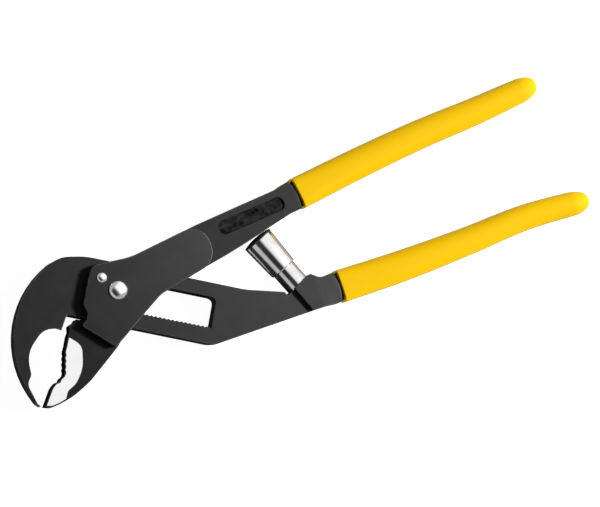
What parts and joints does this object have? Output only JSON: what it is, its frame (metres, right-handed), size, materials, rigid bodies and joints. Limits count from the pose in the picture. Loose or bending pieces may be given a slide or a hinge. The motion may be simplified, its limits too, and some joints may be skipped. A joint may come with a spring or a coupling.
{
  "type": "water pump pliers",
  "caption": "Self-adjusting water pump pliers: hooked toothed jaws, slotted bar with rack and pawl, spring plunger between the handles, dipped grips.",
  "frame": {"origin": "pivot axis on the flat rear face of the head, with the tool lying on its rear side", "axes": "+X from the jaws to the grips, +Y toward the upper grip, +Z out of the front face"},
  "size_m": [0.2547, 0.0667, 0.018],
  "materials": {
    "forged_steel": "satin black oxide on forged steel, jaws ground bright",
    "bright_steel": "polished",
    "inner_steel": "plain hardened steel",
    "dark_plastic": "matte",
    "grip_yellow": "smooth dipped coat"
  },
  "bodies": {
    "lower_handle": {"lower_lever": "forged_steel", "lower_grip": "grip_yellow", "plunger_tube": "bright_steel", "guide_ring": "dark_plastic", "plunger_spring": "inner_steel"},
    "pawl_block": {"pawl": "inner_steel"},
    "pivot": {"pivot_rivet": "bright_steel"},
    "upper_handle": {"upper_lever": "forged_steel", "cheek_plate": "forged_steel", "guide_pin": "bright_steel", "upper_grip": "grip_yellow"},
    "plunger": {"plunger_sleeve": "bright_steel", "plunger_cap": "dark_plastic"}
  },
  "joints": [
    {"name": "jaw_adjust", "type": "slide", "parent": "pawl_block", "child": "lower_handle", "axis": [-0.866, 0.5, 0], "range_m": [0, 0.0216]},
    {"name": "handle_swing", "type": "hinge", "parent": "pivot", "child": "pawl_block", "pos_m": [0, 0, 0.008], "axis": [0, 0, -1], "range_deg": [0, 18]},
    {"name": "handle_squeeze", "type": "hinge", "parent": "pivot", "child": "upper_handle", "pos_m": [0, 0, 0.008], "axis": [0, 0, 1], "range_deg": [-1.3, 0], "stiffness_Nm_per_rad": 12},
    {"name": "plunger_stroke", "type": "slide", "parent": "lower_handle", "child": "plunger", "axis": [-0.3907, 0.9205, 0], "range_m": [-0.0016, 0], "deforming": ["plunger_spring"]}
  ],
  "couplings": [
    {"joint": "handle_swing", "follows": "jaw_adjust", "rad_per_m": 14.54},
    {"joint": "plunger_stroke", "follows": "handle_squeeze", "m_per_rad": 0.066}
  ]
}
